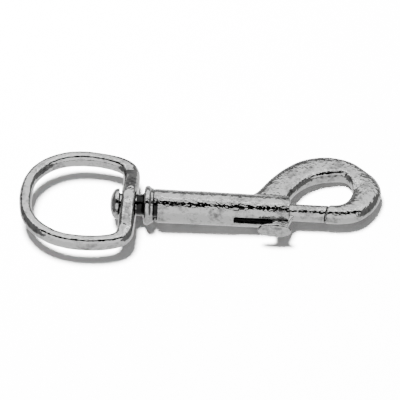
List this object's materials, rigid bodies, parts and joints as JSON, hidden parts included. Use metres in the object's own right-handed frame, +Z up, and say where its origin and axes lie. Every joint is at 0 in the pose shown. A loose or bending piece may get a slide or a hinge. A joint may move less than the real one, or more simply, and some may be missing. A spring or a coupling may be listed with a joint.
{
  "type": "swivel snap hook",
  "caption": "Cast metal snap hook with a spring bolt that a thumb pad draws back along a round barrel, and a D-shaped eye that swivels on a headed stud.",
  "frame": {"origin": "middle of the bounding box, on the table plane that the hook lies on", "axes": "+X along the hook from the eye to the beak, +Y across the hook towards its bow, +Z up from the table"},
  "size_m": [0.093, 0.0358, 0.0102],
  "materials": {
    "cast_nickel": "malleable iron casting, bright nickel plate over a rough cast skin",
    "eye_nickel": "malleable iron casting, bright nickel plate over a smoother skin",
    "stud_nickel": "turned and peened steel, nickel plated",
    "spring_steel": "drawn spring wire"
  },
  "bodies": {
    "hook": {"hook_body": "cast_nickel", "swivel_stud": "stud_nickel", "bolt_spring": "spring_steel"},
    "bolt": {"bolt": "cast_nickel"},
    "eye": {"swivel_eye": "eye_nickel"}
  },
  "joints": [
    {"name": "bolt_slide", "type": "slide", "parent": "hook", "child": "bolt", "axis": [-0.9997, 0, 0.0246], "range_m": [0, 0.0099], "stiffness_N_per_m": 400, "springref_m": -0.006, "deforming": ["bolt_spring"]},
    {"name": "eye_swivel", "type": "hinge", "parent": "hook", "child": "eye", "pos_m": [-0.01827, -0.0022, 0.00522], "axis": [0.9997, 0, -0.0246], "continuous": true}
  ]
}
